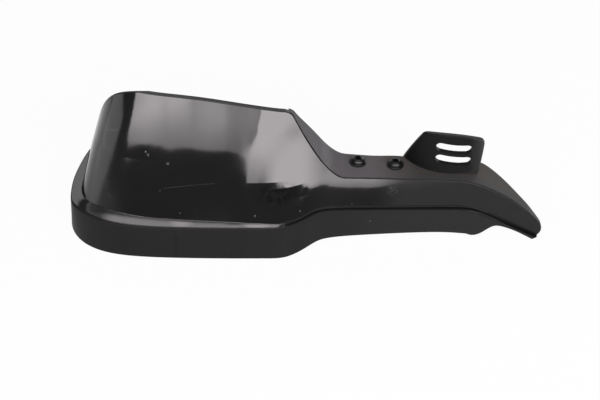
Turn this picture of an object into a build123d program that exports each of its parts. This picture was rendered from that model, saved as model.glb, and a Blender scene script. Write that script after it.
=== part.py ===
from build123d import *
import os

# Layout: x runs inboard from the outer end of the skirt, y back towards the rider from its
# front face, z up from its lower edge. The finished pieces are moved to the bar-end eye.

# Driving dimensions of the shell, mm
wall = 3.0
lip_z = 27.0
panel_z = 102.6
panel_end = 150.6
panel_drop = 11.2
panel_free_y = 86.0
panel_side_x = 110.0
arm_y = 19.6
arm_z = 47.8
arm_start = 188.0
arm_end = 260.0
tail_len = 59.2
tail_drop = 50.8
flange_y = 50.4
edge_r = 1.2
lip_r = 0.9
corner_r = 6.0
root_r = 0.6

# Bar-end eye
eye_x = 17.5
eye_y = 118.0
eye_z = 18.6
eye_bore = 25.3
eye_rim = 5.5
eye_t = 5.0
eye_flat = 14.0
strap_w = 12.0

# Slotted tab, rolled about an upright axis
tab_x = 258.2
tab_y = 68.0
tab_r = 37.0
tab_t = 3.4
tab_top = 77.2
tab_fall = 5.6
tab_crown = 5.2
tab_left = 225.4
tab_right = 278.2
tab_lean = 12.1
tab_bulge = 1.0
tab_waist = 3.4
tab_corner = 6.0
tab_edge = 1.4
slot_x = 257.4
slot_z = 63.5
slot_len = 24.0
slot_w = 7.0
slot_pitch = 9.6
slot_tilt = -6.0

# Screws, stay plate and nuts
screw_at = ((194.5, 43.8), (219.5, 40.8))
screw_d = 5.0
screw_len = 14.0
screw_hole = 5.6
screw_tip = 0.6
head_d = 9.0
head_h = 4.0
collar_d = 11.3
collar_h = 1.2
recess_d = 4.6
recess_depth = 2.2
stay_w = 15.0
stay_t = 2.5
stay_edge = 0.3
nut_af = 8.0
nut_h = 5.0
nut_flange_d = 11.8
nut_flange_h = 2.0
nut_bore = 5.1

# Bounds of the construction, clear of the guard on every side
left_x = -40.0
right_x = 335.0
front_y = -40.0
back_y = 150.0
below_z = -40.0
above_z = 140.0
clear = 10.0
overlap = 1.0

# Plan outlines of the skirt at its lower edge and at the lip
eye_face = eye_x - eye_t / 2
flat_y = eye_y - eye_flat
side_y = 37.0
side_run = flat_y - side_y
skirt_back = [
    (eye_face, eye_y + 22), (eye_face, eye_y), (eye_face, flat_y),
    (eye_face - 0.8, flat_y - 0.045 * side_run), (eye_face - 4.5, flat_y - 0.172 * side_run),
]
skirt_step = [
    (107, -0.5), (133, -0.5), (145.4, 0.9), (151.4, 4), (157.3, 8.2), (163.2, 13.2), (169.2, arm_y - 2.6),
    (176, arm_y - 1.2), (arm_start + 2, arm_y - 0.6), (240, arm_y), (right_x, arm_y + 0.4),
]
skirt_low = [
    *skirt_back, (6.2, side_y + 0.687 * side_run), (1, side_y + 0.433 * side_run),
    (-1.4, side_y + 0.194 * side_run), (-1.6, side_y), (0.6, 28.6), (9, 15.9),
    (23.7, 6.7), (45, 2), (75, 0.1), *skirt_step,
]
skirt_lip = [
    *skirt_back, (6.8, side_y + 0.687 * side_run), (2.4, side_y + 0.433 * side_run),
    (0.2, side_y + 0.224 * side_run), (0, side_y), (1.2, 28.8), (9.7, 18.4),
    (22.5, 9.6), (43.8, 3), (73.5, 0.3), *skirt_step,
]
skirts = [skirt_low, skirt_lip]

# Plan outlines of the front surface, one at each level
level_z = (0.0, lip_z, 62.0, panel_z + 3.4)
front_0 = [
    (3.6, 118), (3, 94), (1.5, 72), (0.5, 48), (0.8, 32), (4, 23.5), (15.5, 13.6), (40, 2), (73, -3),
    (107, -6), (133, -8), (147, -7.6), (155, -2.6), (162, 5), (169, 11), (179, arm_y - 4), (205, arm_y - 1),
    (235, arm_y + 0.9), (265, arm_y + 1.7), (290, arm_y + 2.1), (right_x, arm_y + 2.3),
]
front_1 = [
    (9.7, 124), (9, 100), (8.3, 76), (7.5, 53), (7.7, 38), (10.7, 30.5), (21, 22.2), (43, 12.8), (73, 8.1),
    (107, 5.3), (135, 3.4), (147, 4.2), (154, 7.9), (160.5, 13.2), (168, arm_y - 1.1), (177, arm_y + 0.9),
    (205, arm_y + 1.7), (235, arm_y + 2.1), (265, arm_y + 2.3), (290, arm_y + 2.4), (right_x, arm_y + 2.5),
]
front_2 = [
    (20, 134), (19, 110), (18, 86), (17.5, 66), (17.5, 52), (20, 43), (28, 34), (43, 27), (73, 23.4),
    (103, 20.6), (121, 19.7), (134, 20.1), (147, 22.6), (160, 26.8), (173, 30.4), (187, arm_y + 12.4),
    (208, arm_y + 11.9), (235, arm_y + 9.5), (265, arm_y + 6.3), (290, arm_y + 4.3), (right_x, arm_y + 3.3),
]
front_3 = [
    (32.5, 142), (31.5, 118), (30.5, 98), (30, 86), (30, 76), (32.5, 66), (39, 57.5), (50, 52.5),
    (73, 50.2), (107, 49.4), (125, 49.3), (137, 49.4), (150, 49.6), (163, 49.8), (175, 50), (188, 49.8),
    (208, 47.9), (235, 43.4), (265, 36.9), (290, 31.4), (right_x, 25.9),
]
fronts = [front_0, front_1, front_2, front_3]

# Front view: top edge, fall from the panel's corner to the arm, tail, lip line and lower edge.
# The fall is given as shares of its run and drop, and what lies on the tail as shares of the tail.
panel_end_z = panel_z - panel_drop
top_edge = [
    (34, panel_z), (50, panel_z - 0.6), (62, panel_z - 1.3), (94, panel_z - 3.8), (119.6, panel_z - 6.4),
    (panel_end - 5, panel_end_z + 1.6),
]
fall_shape = [(0, 0), (0.254, 0.369), (0.449, 0.626), (0.615, 0.819), (0.786, 0.95), (1, 1)]
fall_run = arm_start - panel_end
fall_drop = panel_end_z - arm_z
fall = [(panel_end + along * fall_run, panel_end_z - down * fall_drop) for along, down in fall_shape]
tail_shape = [
    (0, 0), (0.194, 0.035), (0.35, 0.106), (0.49, 0.189), (0.642, 0.307), (0.743, 0.409), (0.845, 0.52),
    (0.936, 0.642), (1, 0.772), (0.98, 0.878), (0.905, 0.935), (0.743, 1),
]
tail = [(arm_end + along * tail_len, arm_z - down * tail_drop) for along, down in tail_shape]
lip_shape = [
    (0, 0), (0.135, 0.012), (0.27, 0.055), (0.422, 0.142), (0.574, 0.244), (0.726, 0.35), (0.845, 0.425),
    (1.182, 0.63),
]
lip_run = [(arm_end + along * tail_len, lip_z - down * tail_drop) for along, down in lip_shape]
cut_shape = [
    (0.135, 0.842), (0.355, 0.783), (0.465, 0.705), (0.557, 0.724), (0.676, 0.783), (0.811, 0.874),
    (0.912, 0.949),
]
lower_cut = [(arm_end + along * tail_len, arm_z - down * tail_drop) for along, down in cut_shape]
lower = [(146, 0), (160, 0.6), (176, 2.4), (207, 4.7), (230, 5.8), (252, 6.2), lower_cut[0]]

# Side view: free edge of the panel's outer side
panel_h = panel_z - lip_z
free_edge = [
    (44, panel_z + 2.4), (51, panel_z - 1), (57, panel_z - 8.1), (64, lip_z + 0.7 * panel_h),
    (74, lip_z + 0.384 * panel_h), (panel_free_y, lip_z), (panel_free_y + 4, lip_z - 11),
]

# Plan: far edge of the flange, scooped behind the tab
far_edge = [
    (146, 44.4), (152.6, 45.6), (160.2, flange_y - 0.2), (169.6, flange_y + 3), (180.2, flange_y + 3.4),
    (193, flange_y + 2.2), (207, flange_y + 0.8), (226, flange_y), (233, flange_y - 2.4),
    (241, flange_y - 5.4), (249, flange_y - 6.9), (257, flange_y - 7.2), (265, flange_y - 6.2),
    (arm_end + 11, flange_y - 3.6), (arm_end + 16, flange_y - 1.6), (arm_end + 19.5, flange_y - 1.5),
    (arm_end + 24.5, flange_y - 3.6), (arm_end + 31.6, flange_y - 8.3),
    (arm_end + 39.6, flange_y - 13.8), (arm_end + 47.3, flange_y - 18), (arm_end + 54, flange_y - 21.8),
    (arm_end + 66, flange_y - 26.6),
]


def offset_curve(curve, distance, count):
    """Curve in the x-y plane moved to its left by distance."""
    moved = []
    for i in range(count + 1):
        tangent = curve % (i / count)
        moved.append(curve @ (i / count) + distance * Vector(-tangent.Y, tangent.X, 0))
    return Spline(*moved)


def plug(outlines, heights, inset=0.0):
    """Solid behind a front surface, closed far behind the guard."""
    beyond = clear if inset else 0.0
    sections = []
    for points, z in zip(outlines, heights):
        front = Spline(*points)
        if inset:
            front = offset_curve(front, inset, 2 * len(points))
        start = front @ 0
        far = back_y + beyond
        back = Polyline(front @ 1, (right_x + beyond, far), (start.X + 60, far), start)
        sections.append(Pos(0, 0, z) * make_face([front, *back.edges()]))
    return loft(sections)


def across(face, y0=front_y, y1=back_y + 2 * clear):
    """Front-view face carried from y0 to y1."""
    return extrude(Plane.XZ.offset(-y1) * face, y1 - y0, dir=(0, -1, 0))


def closed(curves, *corners):
    """Face bounded by joined curves and straight lines through the corners."""
    back = Polyline(curves[-1] @ 1, *corners, curves[0] @ 0)
    return make_face([*curves, *back.edges()])


# Front-view faces of the guard and of its hollow
fall_curve = Spline(*fall, tangents=[(0.5, -0.87), (1, 0)])
arm_line = Line((arm_start, arm_z), (arm_end, arm_z))
tail_curve = Spline(*tail, tangents=[(1, 0), (-0.9, -0.3)])
top_curve = Spline(*top_edge)
corner = Line(top_edge[-1], fall[0])
upper = [Line((left_x, panel_z), top_edge[0]), top_curve, corner, fall_curve, arm_line, tail_curve]
guard_view = closed(upper, (tail[-1][0], below_z), (left_x, below_z))
guard_view = fillet(guard_view.vertices().sort_by_distance(fall[0])[0], corner_r)
fall_in = offset_curve(fall_curve, -wall, 24)
arm_in = Line((arm_start, arm_z - wall), (arm_end, arm_z - wall))
tail_in = offset_curve(tail_curve, -wall, 36)
corners = [(tail[-1][0] - wall, below_z), (left_x, below_z), (left_x, above_z), ((fall_in @ 0).X, above_z)]
hollow_view = closed([fall_in, arm_in, tail_in], *corners)

# Front-view faces above and below the lip line, and under the lower edge
lip_level = Line((left_x, lip_z), (arm_end, lip_z))
lip_curve = Spline(*lip_run, tangents=[(1, 0), (0.9, -0.45)])
corners = [(right_x + clear, lip_run[-1][1]), (right_x + clear, above_z), (left_x, above_z)]
above_view = closed([lip_level, lip_curve], *corners)
below_view = closed([lip_level, lip_curve], (lip_run[-1][0], below_z), (left_x, below_z))
lower_curves = [Spline(*lower, tangents=[(1, 0), (1, -0.1)]), Spline(*lower_cut)]
under_view = closed(lower_curves, (lower_cut[-1][0], 2 * below_z), (lower[0][0], 2 * below_z))

# Outer form: leaning panel and arm above the lip, upright skirt below it
corners = [(back_y + clear, free_edge[-1][1]), (back_y + clear, above_z), (free_edge[0][0], above_z)]
side_cut = closed([Spline(*free_edge)], *corners)
panel_form = plug(fronts, level_z) & across(guard_view & (Pos(0, -overlap) * above_view))
panel_form -= extrude(Plane.YZ.offset(left_x) * side_cut, panel_side_x - left_x)
front = panel_form.faces().sort_by(Axis.Y)[0]
panel_form = fillet(front.edges().filter_by(lambda e: e.center().Z > lip_z), edge_r)
skirt_form = plug(skirts, (0.0, lip_z)) & across((guard_view & below_view) - under_view)
front = skirt_form.faces().sort_by(Axis.Y)[0]
skirt_form = fillet(front.edges().filter_by(lambda e: e.center().Y < flat_y), lip_r)
form = panel_form + skirt_form
front = form.faces().filter_by(GeomType.BSPLINE).sort_by(SortBy.AREA)[-1]
form = fillet(front.edges().filter_by(lambda e: e.center().Z < lip_z + 0.1), root_r)

# Hollow behind the panel and the skirt, less the skirt's wall where it runs on to the eye
panel_void = plug(fronts, level_z, wall) & across(hollow_view & (Pos(0, -wall - 0.1) * above_view))
skirt_run = eye_y - panel_free_y
skirt_wall = Box(eye_x, skirt_run, lip_z + clear, align=(Align.MAX, Align.MIN, Align.MIN))
panel_void -= Pos(eye_face + wall, panel_free_y, 0) * skirt_wall
skirt_void = plug(skirts, (-5.0, lip_z), wall) & across(hollow_view & (Pos(0, -wall) * below_view))
shell = form - panel_void - skirt_void

# Far edge of the flange, and the back end of the skirt
behind_y = back_y + 2 * clear
corners = [(right_x + clear, far_edge[-1][1]), (right_x + clear, behind_y), (far_edge[0][0], behind_y)]
behind = closed([Spline(*far_edge)], *corners)
shell -= Pos(0, 0, below_z) * extrude(behind, above_z - below_z)
shell -= Pos(left_x, eye_y, below_z) * Box(panel_end - left_x, 2 * back_y, 2 * above_z, align=Align.MIN)

# Bar-end eye
eye_r = eye_bore / 2 + eye_rim
strap = Pos(eye_y - strap_w / 2, lip_z / 2) * Rectangle(strap_w, lip_z)
eye_view = make_hull([*strap.edges(), *(Pos(eye_y, eye_z) * Circle(eye_r)).edges()])
shell += extrude(Plane.YZ.offset(eye_face) * eye_view, eye_t)
shell -= Pos(eye_x, eye_y, eye_z) * Rot(0, 90, 0) * Cylinder(eye_bore / 2, 3 * eye_t)

# Slotted tab on the flange
root = arm_z - wall / 2
tab = Pos(tab_x, tab_y, root - 2 * clear) * extrude(Circle(tab_r) - Circle(tab_r - tab_t), tab_top)
tab_ends = [(tab_left + tab_lean, tab_top), (tab_right, tab_top - tab_fall)]
tab_middle = ((tab_ends[0][0] + tab_right) / 2, tab_top - tab_fall / 2 + tab_crown)
tab_slope_middle = (tab_left + tab_lean / 2 - tab_bulge, (tab_top + root) / 2)
tab_slope = ThreePointArc((tab_left, root), tab_slope_middle, tab_ends[0])
tab_crest = ThreePointArc(tab_ends[0], tab_middle, tab_ends[1])
tab_side_middle = (tab_right - 0.8, (tab_top + root) / 2)
tab_side = ThreePointArc(tab_ends[1], tab_side_middle, (tab_right - tab_waist, root - 2.5))
tab_view = closed([tab_slope, tab_crest, tab_side], (arm_end, root))
tab_view = fillet(tab_view.vertices().sort_by(Axis.Y)[-2:], tab_corner)
tab &= across(tab_view, front_y, tab_y)
skins = tab.faces().filter_by(GeomType.CYLINDER).sort_by(SortBy.AREA)[-2:]
tab = fillet(skins.edges().filter_by(lambda e: e.center().Z > root + 4), tab_edge)
slot = Rot(0, 0, slot_tilt) * SlotOverall(slot_len, slot_w)
for side in (-0.5, 0.5):
    tab -= across(Pos(slot_x, slot_z + side * slot_pitch) * slot, front_y, tab_y)
shell += tab

# Screw holes in the flange
screw_axes = [Pos(*at, arm_z) for at in screw_at]
for axis in screw_axes:
    shell -= axis * Cylinder(screw_hole / 2, 4 * wall)

# Stay plate under the flange
stay_top = arm_z - wall
run = Vector(*screw_at[1]) - Vector(*screw_at[0])
middle = (Vector(*screw_at[0]) + Vector(*screw_at[1])) / 2
strip = Rot(0, 0, -run.get_signed_angle(Vector(1, 0, 0))) * SlotCenterToCenter(run.length, stay_w)
stay = Pos(middle.X, middle.Y, stay_top - stay_t) * extrude(strip, stay_t)
stay = chamfer(stay.edges().filter_by(lambda e: e.length > stay_w), stay_edge)
for axis in screw_axes:
    stay -= axis * Cylinder(screw_hole / 2, 2 * screw_len)

# Collar screw: dome on a collar, six-lobed recess, plain shank of the thread's outer diameter
dome_r = head_d / 2
shank_r = screw_d / 2
collar_r = collar_d / 2
profile = Polyline(
    (0, head_h), (0, -screw_len), (shank_r - screw_tip, -screw_len), (shank_r, screw_tip - screw_len),
    (shank_r, 0), (collar_r, 0), (collar_r, collar_h - 0.3), (collar_r - 0.5, collar_h), (dome_r, collar_h),
)
crown = Spline(
    (dome_r, collar_h), (dome_r * 0.8, head_h - 0.8), (0, head_h), tangents=[(-0.1, 1), (-1, 0)]
)
screw = revolve(Plane.XZ * make_face([*profile.edges(), crown]), Axis.Z)
star = Circle(recess_d * 0.36)
for i in range(6):
    star += Rot(0, 0, 60 * i) * Pos(recess_d * 0.37, 0) * Circle(recess_d * 0.13)
screw -= Pos(0, 0, head_h - recess_depth) * extrude(star, 2 * recess_depth)

# Hexagon flange nut
nut = extrude(RegularPolygon(nut_af / 2, 6, major_radius=False), -nut_h)
nut += Cone(nut_af / 2, nut_flange_d / 2, nut_flange_h, align=(Align.CENTER, Align.CENTER, Align.MAX))
nut -= Cylinder(nut_bore / 2, 4 * nut_h)

pieces = {"guard_shell": shell, "stay_plate": stay}
for name, at, axis in zip(("outer", "inner"), screw_at, screw_axes):
    pieces[f"flange_screw_{name}"] = axis * screw
    pieces[f"flange_nut_{name}"] = Pos(*at, stay_top - stay_t) * nut

os.makedirs("parts", exist_ok=True)
home = Pos(-eye_x, -eye_y, -eye_z)
for name, piece in pieces.items():
    export_step((home * piece).solid(), f"parts/{name}.step")
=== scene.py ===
import math
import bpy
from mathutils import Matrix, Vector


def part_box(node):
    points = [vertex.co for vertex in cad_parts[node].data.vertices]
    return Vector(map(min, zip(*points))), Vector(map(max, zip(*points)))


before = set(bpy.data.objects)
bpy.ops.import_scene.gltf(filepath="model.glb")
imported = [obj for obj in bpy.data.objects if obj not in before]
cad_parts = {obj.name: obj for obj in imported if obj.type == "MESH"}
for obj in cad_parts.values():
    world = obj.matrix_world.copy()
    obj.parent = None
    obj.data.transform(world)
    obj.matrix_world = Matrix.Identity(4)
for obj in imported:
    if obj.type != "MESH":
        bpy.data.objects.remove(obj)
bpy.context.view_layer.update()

from types import SimpleNamespace

import bpy
from mathutils import Vector

MM = 0.001
SHELL_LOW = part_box("guard_shell")[0]
FLOOR_Z = SHELL_LOW.z


def grey(value, warmth=0.0):
    """Grey of this brightness, a little warmer for a positive warmth."""
    return (value * (1 + warmth), value, value * (1 - warmth), 1)


# View of the guard: image width, focal length in pixels of it, height of the view and distance
IMAGE_W, FOCAL_PX = 600, 1700
SENSOR = 36.0
VIEW_UP = math.radians(39)
VIEW_DISTANCE = 1190 * MM
VIEW_TARGET = Vector((138 * MM, -55.5 * MM, FLOOR_Z))

# Places on the moulding, mm from the centre of the bar-end eye
LIP_Z = 8.4
ARM_END_X = 242.5
TAIL_SLOPE = 0.58
TAIL_TURN = 16.0
INNER_SCREW = (202.0, -77.2)

# Soft edges of the zones in mm, as where each starts and where it is whole
BAND_BELOW_LIP = (-0.1, -0.5)
TAB_FOOT_Z = (29.4, 30.8)
TAB_LEFT_X = (204.0, 206.0)
RIM_Z = (52, 58)
FLANGE_X = (130, 134)
SIDE_LEFT_X = (138, 156)
SIDE_RIGHT_X = (180, 166)
LIP_LINE = (1.8, 0.8)
LIP_LINE_X = (120, 132)
POLISH_X = (212, 184)
LEDGE_HEIGHT = (1.2, 0.6)
LEDGE_LEFT_X = (-14, 0)
LEDGE_RIGHT_X = (132, 122)
LEDGE_FRONT_Y = (-84, -94)
EVEN_FALL_X = (215, 195)

# Facings of the zones, as the share of the normal where each starts and where it is whole
RIM_UP = (0.7, 0.9)
FLANGE_BACK = (-0.5, -0.2)
FLANGE_UP = (0.2, 0.4)
INSIDE_BACK = (0.1, 0.3)
INSIDE_DOWN = (-0.2, -0.4)
TAB_EDGE_SIDEWAYS = (0.25, 0.6)
LEDGE_UP = (0.75, 0.9)
FALL_NOT_FRONT = (0.15, 0.05)

# Colours of the moulding, and where along x the shifts between them run
PANEL_BLACK = grey(0.005, -0.03)
TAIL_BLACK = grey(0.014, -0.01)
BAND_OUTER, BAND_INNER = grey(0.0085), grey(0.0145, 0.01)
BAND_SHIFT_X = (115, 215)
# The flange's grey is partly its dull textured finish and partly painted light on its upward face; the
# lighter foot of the fall is a painted highlight, and the flange is darker towards the inner end
FALL_TOP, FALL_FOOT_HIGHLIGHT = (0.060, 0.056, 0.060, 1), (0.097, 0.092, 0.097, 1)
FALL_SHIFT_X = (142, 166)
FLANGE_END = grey(0.046, 0.01)
FLANGE_SHIFT_X = (182, 222)
# The tab's right-facing edges get a lighter colour as painted light
TAB_FACE, TAB_EDGE_PAINTED_LIGHT = grey(0.004, 0.02), grey(0.034)
# Dark line along the arm's lip: painted shade in the groove between arm and band
LIP_PAINTED_SHADE = grey(0.004)
# Grey of the upward top edge: painted light
RIM_PAINTED_LIGHT = grey(0.05)
DIRT_BROWN = (0.075, 0.055, 0.036, 1)
MARK_PALE = grey(0.16, 0.01)
STREAK_BLACK = grey(0.002)
SMUDGE_BLACK = grey(0.003, 0.1)

# Shine of the moulding: roughness of each finish, what zones add to it, and where the gloss weakens
SATIN_ROUGH, SATIN_SPECULAR = 0.36, 0.14
GLOSS_ROUGH, GLOSS_IOR = 0.085, 1.62
DULL_ROUGH, DULL_SPECULAR = 0.8, 0.05
TEXTURE_ROUGH = 0.12
MARK_ROUGH = 0.25
SIDE_ROUGH, SIDE_GLOSS = 0.3, 0.3
LEDGE_ROUGH = 0.17
OUTER_END_ROUGH, OUTER_END_X = 0.1, (30, 8)
ARM_GLOSS, ARM_GLOSS_X = 0.58, (138, 156)
TEXTURE_DEPTH = 0.06 * MM

# How much of each kind of wear shows
DUST_SHARE = 0.3
SCRATCH_SHARE = 0.2
SCUFF_SHARE = 0.25
MARK_SHARE = 0.6
DIRT_SHARE = 0.35
STREAK_SHARE = 0.4
SMUDGE_SHARE = 0.8

# Wear on the front, as (x, z) in mm: light specks with their radius, then scratches with their half width
SPECKS = [(37.8, 48.2, 0.8), (36.3, 50.2, 0.5), (50.9, 43.6, 0.8), (45.2, 26.6, 0.4), (138.0, 13.5, 0.5)]
SPECKS += [(185.2, -1.7, 0.5), (58.3, 13.0, 0.4), (108.2, 13.4, 0.6), (172.9, 10.9, 0.4), (109.1, 50.8, 0.4)]
SCRATCHES = [((8.5, 56.5), (17.8, 60.0), 0.3)]
SCRATCHES += [((47.3, 28.0), (65.3, 30.9), 0.16), ((65.3, 30.9), (81.9, 33.0), 0.16)]
SMUDGE = (123.0, 26.5)
SCUFF = (200.0, 21.0)
BAND_MARK = ((55.7, 1.7), (54.8, -15.8), 0.9)

# Dirt beyond the inner screw, in the corner at the foot of the tab
CORNER_X = (206, 216)
CORNER_Y = (-92, -84)

# Sheets of light in front, as (x, z) corners in metres, all at this depth
SHEET_Y = -1.014
SHEET_TINT = (1.03, 0.975, 1.0, 1)
SHEET_JOIN = [(0.31, 0.95), (0.23, 0.74), (0.16, 0.63), (0.09, 0.45), (0.04, 0.34)]
LEFT_SHEET = [(-0.99, 0.95), (-0.99, 0.74), (-0.95, 0.54), (-0.90, 0.34)]
LEFT_SHEET += [(-0.80, 0.29), (-0.35, 0.32), (0.02, 0.345)]
RIGHT_SHEET = [(-0.02, 0.19), (0.07, 0.21), (0.30, 0.285), (0.45, 0.30)]
RIGHT_SHEET += [(0.9, 0.30), (1.9, 0.25), (1.9, 0.95)]

# Brightness along each sheet, as (share of its run, level)
LEFT_STOPS = [(0.0, 0.7), (0.3, 0.95), (0.48, 1.0), (0.58, 0.95), (0.7, 0.6), (0.82, 0.44), (1.0, 0.4)]
RIGHT_STOPS = [(0.0, 0.98), (0.35, 1.0), (0.7, 0.97), (1.0, 0.97)]

# Floor in metres, the share of its own glow that the camera sees, and the surround
FLOOR_SIZE = 6
FLOOR_X = 0.138
FLOOR_GAP = 0.0002
FLOOR_GLOW = 0.95
SURROUND = grey(0.12)


class Shade:
    """A shader socket. Arithmetic on it adds Math nodes, and make adds any other node."""

    def __init__(self, tree, socket=None):
        self.tree = tree
        self.socket = socket

    def feed(self, target, value):
        """Link a Shade to a node's input, or set the input to a plain value."""
        if isinstance(value, Shade):
            self.tree.links.new(value.socket, target)
        else:
            target.default_value = value

    def make(self, kind, settings=None, inputs=None, output=0):
        """Add a node of this kind: settings first, then its inputs, and give one output."""
        node = self.tree.nodes.new(kind)
        for name, value in (settings or {}).items():
            if name == "stops":
                self.ramp(node.color_ramp, value)
            else:
                setattr(node, name, value)
        for key, value in (inputs or {}).items():
            self.feed(node.inputs[key], value)
        return Shade(self.tree, node.outputs[output])

    def ramp(self, ramp, stops):
        """Set a smooth colour ramp to (place, level) stops."""
        ramp.interpolation = "B_SPLINE"
        while len(ramp.elements) < len(stops):
            ramp.elements.new(1.0)
        for element, (place, level) in zip(ramp.elements, stops):
            element.position = place
            element.color = grey(level)

    def math(self, operation, *values):
        settings = {"operation": operation}
        return self.make("ShaderNodeMath", settings, dict(enumerate(values)))

    def __add__(self, other):
        return self.math("ADD", self, other)

    def __radd__(self, other):
        return self.math("ADD", other, self)

    def __sub__(self, other):
        return self.math("SUBTRACT", self, other)

    def __rsub__(self, other):
        return self.math("SUBTRACT", other, self)

    def __mul__(self, other):
        return self.math("MULTIPLY", self, other)

    def __rmul__(self, other):
        return self.math("MULTIPLY", other, self)

    def least(self, other):
        return self.math("MINIMUM", self, other)

    def most(self, other):
        return self.math("MAXIMUM", self, other)

    def size(self):
        return self.math("ABSOLUTE", self)

    def root(self):
        return self.math("SQRT", self)

    def step(self, low, high, start=0.0, end=1.0):
        """Smooth step from start at low to end at high."""
        settings = {"interpolation_type": "SMOOTHSTEP"}
        if low > high:
            low, high, start, end = high, low, end, start
        return self.make("ShaderNodeMapRange", settings, {0: self, 1: low, 2: high, 3: start, 4: end})

    def blend(self, first, second):
        """Colour mix of first and second, with this socket as the factor."""
        settings = {"data_type": "RGBA"}
        return self.make("ShaderNodeMix", settings, {0: self, 6: first, 7: second}, 2)

    def blend_vectors(self, first, second):
        """Vector mix of first and second, with this socket as the factor."""
        settings = {"data_type": "VECTOR"}
        return self.make("ShaderNodeMix", settings, {0: self, 4: first, 5: second}, 1)

    def blend_shaders(self, first, second):
        """Shader mix of first and second, with this socket as the factor."""
        return self.make("ShaderNodeMixShader", None, {0: self, 1: first, 2: second})

    def parts(self):
        """X, Y and Z of a vector socket."""
        first = self.make("ShaderNodeSeparateXYZ", None, {0: self})
        return [Shade(self.tree, out) for out in first.socket.node.outputs]

    def show(self):
        """Make this shader the material's surface."""
        self.feed(self.tree.nodes["Material Output"].inputs["Surface"], self)


def new_material(name):
    """Material with its shader node and a Shade to build on."""
    material = bpy.data.materials.new(name)
    material.use_nodes = True
    tree = material.node_tree
    shader = tree.nodes["Principled BSDF"]
    return material, shader, Shade(tree)


def place_mm(shade):
    """Place on the piece in mm from the bar-end eye, as a vector."""
    place = shade.make("ShaderNodeTexCoord", None, None, "Object")
    return shade.make("ShaderNodeVectorMath", {"operation": "SCALE"}, {0: place, "Scale": 1 / MM})


def noise(place, scale, detail, roughness):
    inputs = {"Vector": place, "Scale": scale, "Detail": detail, "Roughness": roughness}
    return place.make("ShaderNodeTexNoise", None, inputs)


def bump(height, strength, distance, normal=None):
    inputs = {"Strength": strength, "Distance": distance, "Height": height}
    if normal:
        inputs["Normal"] = normal
    return height.make("ShaderNodeBump", None, inputs)


def spot(across, up, centre, radius, soft):
    """Round mark about a centre: 1 inside radius, falling to 0 over soft."""
    aside = across - centre[0]
    above = up - centre[1]
    return (aside * aside + above * above).root().step(radius + soft, radius)


def stroke(x, z, start, end, half_width):
    """Straight mark in the front view, from start to end."""
    run = Vector(end) - Vector(start)
    way = run.normalized()
    along = (x - start[0]) * way.x + (z - start[1]) * way.y
    across = ((x - start[0]) * way.y - (z - start[1]) * way.x).size()
    within = along.step(-0.5, 0.5) * along.step(run.length + 0.5, run.length - 0.5)
    return across.step(2 * half_width, 0.4 * half_width) * within


def lip_height(x):
    """Height of the lip between panel and band: level, then falling round a turn to the tail."""
    past = (x - ARM_END_X).most(0.0)
    return LIP_Z - TAIL_SLOPE * ((past * past + TAIL_TURN ** 2).root() - TAIL_TURN)


def moulding_skin(shade):
    """Places, facings and noises on the moulding, and the masks of its zones."""
    place = place_mm(shade)
    x, y, z = place.parts()
    normal = shade.make("ShaderNodeNewGeometry", None, None, "Normal")
    nx, ny, nz = normal.parts()
    skin = SimpleNamespace(x=x, y=y, z=z, normal=normal, nx=nx, ny=ny)

    skin.cloud = noise(place, 0.035, 3.0, 0.55)
    skin.grain = noise(place, 1.6, 2.0, 0.6)
    skin.dust = noise(place, 0.55, 4.0, 0.7)
    skin.blotch = noise(place, 0.22, 4.0, 0.65)

    skin.above_lip = z - lip_height(x)
    skin.band = skin.above_lip.step(*BAND_BELOW_LIP)
    skin.tab = z.step(*TAB_FOOT_Z) * x.step(*TAB_LEFT_X)
    # Upward top edge of the panel, which gets painted light
    skin.rim = nz.step(*RIM_UP) * z.step(*RIM_Z)
    upper = ny.step(*FLANGE_BACK) * nz.step(*FLANGE_UP) * x.step(*FLANGE_X)
    skin.flange = upper * (1 - skin.tab) * (1 - skin.rim)
    skin.side = skin.flange * x.step(*SIDE_LEFT_X) * x.step(*SIDE_RIGHT_X)
    skin.inside = ny.step(*INSIDE_BACK).most(nz.step(*INSIDE_DOWN))
    skin.textured = skin.band.most(skin.tab).most(skin.flange).most(skin.inside)
    skin.front = 1 - skin.textured
    # Line along the arm's lip, which gets painted shade and no gloss
    skin.arm_lip = skin.above_lip.size().step(*LIP_LINE) * x.step(*LIP_LINE_X)
    skin.polish = skin.front * x.step(*POLISH_X) * (1 - skin.rim) * (1 - skin.arm_lip)
    level = nz.step(*LEDGE_UP) * (z - LIP_Z).size().step(*LEDGE_HEIGHT)
    skin.ledge = level * x.step(*LEDGE_LEFT_X) * x.step(*LEDGE_RIGHT_X) * y.step(*LEDGE_FRONT_Y)
    return skin


def pale_marks(skin):
    """Dust, specks, scratches and the arm's scuff, on the outside only."""
    marks = skin.dust.step(0.66, 0.74) * DUST_SHARE
    for speck_x, speck_z, radius in SPECKS:
        speck = spot(skin.x, skin.z, (speck_x, speck_z), radius * 0.5, radius)
        marks = marks.most(speck * skin.dust.step(0.35, 0.6))
    for scratch in SCRATCHES:
        line = stroke(skin.x, skin.z, *scratch)
        marks = marks.most(line * skin.blotch.step(0.2, 0.5) * SCRATCH_SHARE)
    scuff = spot(skin.x, skin.z, SCUFF, 1.5, 4.0) * skin.dust.step(0.5, 0.62) * SCUFF_SHARE
    return marks.most(scuff) * (1 - skin.inside)


def dark_smudge(skin):
    """Blotchy smudge on the turn to the arm, twice as wide as high."""
    oval = spot(skin.x * 0.5, skin.z, (SMUDGE[0] * 0.5, SMUDGE[1]), 3.5, 5.0)
    return oval * skin.blotch.step(0.46, 0.53) * skin.front


def flange_dirt(skin):
    """Blotchy dirt round the inner screw and in the corner beyond it."""
    corner = skin.x.step(*CORNER_X) * skin.y.step(*CORNER_Y)
    foot = spot(skin.x, skin.y, INNER_SCREW, 7.0, 12.0).most(corner)
    return skin.flange * foot * skin.blotch.step(0.35, 0.65)


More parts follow.
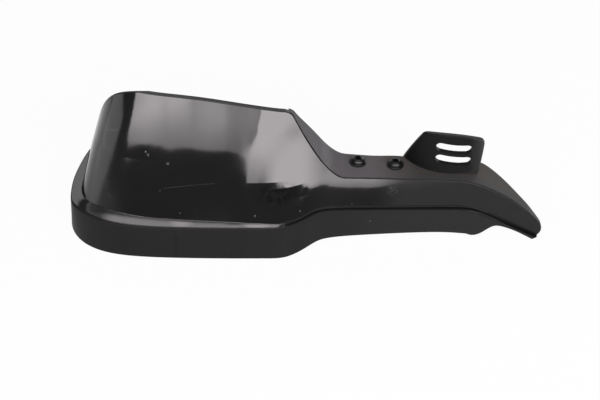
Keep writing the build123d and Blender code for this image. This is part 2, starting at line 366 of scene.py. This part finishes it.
def moulding_colour(skin, marks):
    """Colour of each zone, with painted light on the flange and on the tab's right-facing edges, then the
    dirt, the marks, the streak on the band, painted shade along the arm's lip and painted light on the top
    rim.
    """
    x = skin.x
    colour = skin.polish.blend(TAIL_BLACK, PANEL_BLACK)
    band = x.step(*BAND_SHIFT_X).blend(BAND_OUTER, BAND_INNER)
    colour = skin.band.most(skin.inside).blend(colour, band)
    # Painted light on the upward flange, with a painted highlight at the foot of the fall
    fall = x.step(*FALL_SHIFT_X).blend(FALL_TOP, FALL_FOOT_HIGHLIGHT)
    flange = x.step(*FLANGE_SHIFT_X).blend(fall, FLANGE_END)
    colour = skin.flange.blend(colour, flange)
    # Painted light on the tab's right-facing edges
    tab = skin.nx.step(*TAB_EDGE_SIDEWAYS).blend(TAB_FACE, TAB_EDGE_PAINTED_LIGHT)
    colour = skin.tab.blend(colour, tab)
    colour = (flange_dirt(skin) * DIRT_SHARE).blend(colour, DIRT_BROWN)
    colour = (marks * MARK_SHARE).blend(colour, MARK_PALE)
    streak = stroke(x, skin.z, *BAND_MARK) * skin.band
    colour = (streak * STREAK_SHARE).blend(colour, STREAK_BLACK)
    # Painted shade along the arm's lip and painted light on the top rim
    painted_edge_shade_and_light = skin.rim.blend(LIP_PAINTED_SHADE, RIM_PAINTED_LIGHT)
    return skin.arm_lip.most(skin.rim).blend(colour, painted_edge_shade_and_light)


def cove_normal(x, y):
    """Facing of the ledge as a small cove: steeper toward the panel, turned outward at its outer end."""
    middle_x, front_y, bow = 105.0, -116.4, 0.0012
    inward = y - front_y - bow * (x - middle_x) * (x - middle_x)
    upward = (0.59 - 0.065 * inward).least(0.64).most(0.36)
    outward = x.step(-8, 22, -0.7, 0.0)
    cove = x.make("ShaderNodeCombineXYZ", None, {0: outward, 1: -0.85, 2: upward})
    return cove.make("ShaderNodeVectorMath", {"operation": "NORMALIZE"}, {0: cove})


def fall_normal(x):
    """Facing of the fall from the panel's top to the flange, as one even bend."""
    bend = x.step(146, 176, 0.85, 0.0)
    return x.make("ShaderNodeCombineXYZ", None, {0: bend, 2: (1 - bend * bend).root()})


def arm_lean(x, z):
    """Lean of the arm's front: one curve from its foot to its knee and one above."""
    foot, pivot, knee, top = 4.0, 14.0, 30.0, 62.0
    low = z.least(knee).most(foot) - pivot
    high = z.least(top).most(knee) - knee
    lower = 1.5 - 0.14 * low - 0.0002 * low * low * low
    upper = 0.0044 * high * high - 0.28 * high
    return x.step(128, 150) * lower + x.step(110, 146) * upper


def left_lean(x, z):
    """Lean of the panel's outer side."""
    pivot, top, slope = 18.0, 45.0, 0.06
    return x.step(58, 12) * slope * (pivot - z.least(top))


def middle_lean(x, z):
    """Lean of the panel's middle."""
    pivot, slope = 48.0, 0.03
    return x.step(50, 68) * x.step(106, 88) * slope * (z - pivot)


def turn_lean(x, z):
    """Lean of the turn from panel to arm, which ends sooner in its lower half."""
    middle, top, slope = 22.0, 34.0, 0.07
    upper = x.step(152, 134) * (z.least(top).most(middle) - top)
    lower = x.step(140, 128) * (z.least(middle) - middle)
    return x.step(96, 118) * slope * (upper + lower)


def lip_roll(x, above_lip):
    """Roll of the moulding just under the lip, deeper on the panel than on the arm."""
    slope = -0.47
    depth = x.step(115, 135, -2.6, -1.2)
    return slope * above_lip.least(0.0).most(depth)


def moulding_normal(skin):
    """Shading of the ledge's cove, the even fall, the front's leans in mm and the fine texture."""
    x, z = skin.x, skin.z
    normal = skin.ledge.blend_vectors(skin.normal, cove_normal(x, skin.y))
    fall = skin.flange * skin.ny.size().step(*FALL_NOT_FRONT) * x.step(*EVEN_FALL_X)
    normal = fall.blend_vectors(normal, fall_normal(x))
    lean = arm_lean(x, z) + left_lean(x, z) + middle_lean(x, z) + turn_lean(x, z)
    normal = bump(lean + lip_roll(x, skin.above_lip), 1.0, MM, normal)
    texture = skin.grain * (0.06 + skin.textured * 0.94)
    return bump(texture, 0.35, TEXTURE_DEPTH, normal)


def moulding_material():
    """Black moulded plastic: polished panel, satin tail, finely textured band, flange and tab."""
    material, shader, shade = new_material("black_moulding")
    skin = moulding_skin(shade)
    marks = pale_marks(skin)
    colour = moulding_colour(skin, marks)
    normal = moulding_normal(skin)

    fine = (skin.cloud - 0.5) * 0.03 + (skin.grain - 0.5) * 0.02
    satin_rough = SATIN_ROUGH + skin.textured * TEXTURE_ROUGH + fine * 2
    gloss_rough = GLOSS_ROUGH + fine + marks * MARK_ROUGH + skin.side * SIDE_ROUGH
    gloss_rough = gloss_rough + skin.ledge * LEDGE_ROUGH + skin.x.step(*OUTER_END_X) * OUTER_END_ROUGH

    shader.inputs["Specular IOR Level"].default_value = SATIN_SPECULAR
    shade.feed(shader.inputs["Base Color"], colour)
    shade.feed(shader.inputs["Roughness"], satin_rough)
    shade.feed(shader.inputs["Normal"], normal)
    satin = Shade(shade.tree, shader.outputs[0])
    inputs = {"IOR": GLOSS_IOR, "Base Color": colour, "Roughness": gloss_rough, "Normal": normal}
    gloss = shade.make("ShaderNodeBsdfPrincipled", None, inputs)
    inputs = {"Base Color": SMUDGE_BLACK, "Roughness": DULL_ROUGH, "Specular IOR Level": DULL_SPECULAR}
    dull = shade.make("ShaderNodeBsdfPrincipled", None, inputs)

    gloss_share = skin.polish * skin.x.step(*ARM_GLOSS_X, 1.0, ARM_GLOSS)
    gloss_share = gloss_share.most(skin.side * SIDE_GLOSS)
    plastic = gloss_share.blend_shaders(satin, gloss)
    (dark_smudge(skin) * SMUDGE_SHARE).blend_shaders(plastic, dull).show()
    return material


def metal_material(name, colour, roughness, metallic):
    """Metal or paint with fine mottling in its colour and roughness."""
    material, shader, shade = new_material(name)
    place = place_mm(shade)
    cloud = noise(place, 0.5, 3.0, 0.6)
    grain = noise(place, 4.0, 2.0, 0.6)
    dark = tuple(0.7 * part for part in colour[:3]) + (1,)
    shader.inputs["Metallic"].default_value = metallic
    shade.feed(shader.inputs["Base Color"], cloud.step(0.3, 0.7).blend(dark, colour))
    shade.feed(shader.inputs["Roughness"], roughness + (cloud - 0.5) * 0.2 + (grain - 0.5) * 0.1)
    shade.feed(shader.inputs["Normal"], bump(grain, 0.2, 0.00003))
    return material


def dress(node, material):
    """Give a CAD node this material in every slot."""
    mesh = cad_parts[node].data
    mesh.materials.clear()
    mesh.materials.append(material)


def make_floor():
    """White floor that keeps a soft shadow of the guard."""
    bpy.ops.mesh.primitive_plane_add(size=FLOOR_SIZE, location=(FLOOR_X, 0, FLOOR_Z - FLOOR_GAP))
    floor = bpy.context.object
    floor.name = "floor"
    material, shader, shade = new_material("pale_floor")
    shader.inputs["Base Color"].default_value = grey(0.8)
    shader.inputs["Roughness"].default_value = 0.9
    seen = shade.make("ShaderNodeLightPath", None, None, "Is Camera Ray")
    for kind in ("Is Glossy Ray", "Is Transmission Ray"):
        seen = seen.most(shade.make("ShaderNodeLightPath", None, None, kind))
    glow = shade.make("ShaderNodeEmission", None, {"Color": grey(1.0), "Strength": 1.0})
    surface = Shade(shade.tree, shader.outputs[0])
    (seen * FLOOR_GLOW).blend_shaders(surface, glow).show()
    floor.data.materials.append(material)


def light_sheet(name, corners, brightness, run, stops, upward, slope=0.0):
    """Upright sheet of light in front of the guard, brighter or dimmer along its run and upward."""
    mesh = bpy.data.meshes.new(name)
    mesh.from_pydata([(x, SHEET_Y, z) for x, z in corners], [], [list(range(len(corners)))])
    material, _, shade = new_material(name)
    x, _, z = shade.make("ShaderNodeTexCoord", None, None, "Object").parts()
    wide = x.make("ShaderNodeMapRange", None, {0: x, 1: run[0], 2: run[1]})
    wide = wide.make("ShaderNodeValToRGB", {"stops": stops}, {0: wide})
    level = wide * (z - slope * x).step(*upward)
    tint = level.blend(grey(0.0), SHEET_TINT)
    shade.make("ShaderNodeEmission", None, {"Color": tint, "Strength": brightness}).show()
    mesh.materials.append(material)
    sheet = bpy.data.objects.new(name, mesh)
    sheet.visible_camera = False
    bpy.context.scene.collection.objects.link(sheet)


def softbox(name, place, target, width, height, radiance):
    """Rectangular area light facing target, with this brightness of its face."""
    light = bpy.data.lights.new(name, "AREA")
    light.shape = "RECTANGLE"
    light.size = width
    light.size_y = height
    light.energy = radiance * math.pi * width * height
    lamp = bpy.data.objects.new(name, light)
    lamp.location = place
    lamp.rotation_euler = (Vector(target) - Vector(place)).to_track_quat("-Z", "Y").to_euler()
    bpy.context.scene.collection.objects.link(lamp)


def make_lights():
    """Two sheets in front for the panel, softboxes behind, overhead and at the left, and a dim surround."""
    left = LEFT_SHEET + SHEET_JOIN[::-1]
    left_upward = (0.30, 0.75, 0.44, 1.0)
    light_sheet("left_sheet", left, 6.4, (-0.95, 0.35), LEFT_STOPS, left_upward, slope=0.1)
    right = RIGHT_SHEET + SHEET_JOIN
    right_upward = (0.2, 0.45, 0.5, 1.0)
    light_sheet("right_sheet", right, 7.0, (0.0, 1.2), RIGHT_STOPS, right_upward)

    panel_side = (0, -0.14, 0.05)
    centre = (0.12, -0.08, 0.03)
    softbox("left_box", (-1.12, -0.23, 0.2), panel_side, width=0.88, height=0.5, radiance=1.1)
    softbox("left_back_box", (-0.22, 0.9, 0.75), centre, width=0.5, height=0.4, radiance=1.5)
    softbox("right_back_box", (0.95, 0.95, 0.45), centre, width=0.7, height=0.5, radiance=2.5)
    softbox("overhead", (0.14, -0.2, 1.4), centre, width=1.4, height=0.9, radiance=1.2)

    world = bpy.data.worlds.new("surround")
    world.use_nodes = True
    world.node_tree.nodes["Background"].inputs["Color"].default_value = SURROUND
    bpy.context.scene.world = world


def make_camera():
    """Camera in front of the guard, looking down on it."""
    data = bpy.data.cameras.new("view")
    data.sensor_width = SENSOR
    data.lens = SENSOR * FOCAL_PX / IMAGE_W
    camera = bpy.data.objects.new("view", data)
    back = Vector((0, -math.cos(VIEW_UP), math.sin(VIEW_UP)))
    camera.location = VIEW_TARGET + VIEW_DISTANCE * back
    camera.rotation_euler = (math.pi / 2 - VIEW_UP, 0, 0)
    bpy.context.scene.collection.objects.link(camera)
    bpy.context.scene.camera = camera


dress("guard_shell", moulding_material())
dress("stay_plate", metal_material("black_paint", grey(0.02), 0.45, 0.0))
screw_black = metal_material("blackened_steel", grey(0.004), 0.32, 0.0)
zinc = metal_material("zinc_plate", (0.5, 0.5, 0.48, 1), 0.35, 1.0)
for end in ("outer", "inner"):
    dress(f"flange_screw_{end}", screw_black)
    dress(f"flange_nut_{end}", zinc)

make_floor()
make_lights()
make_camera()
bpy.context.scene.view_settings.view_transform = "Standard"
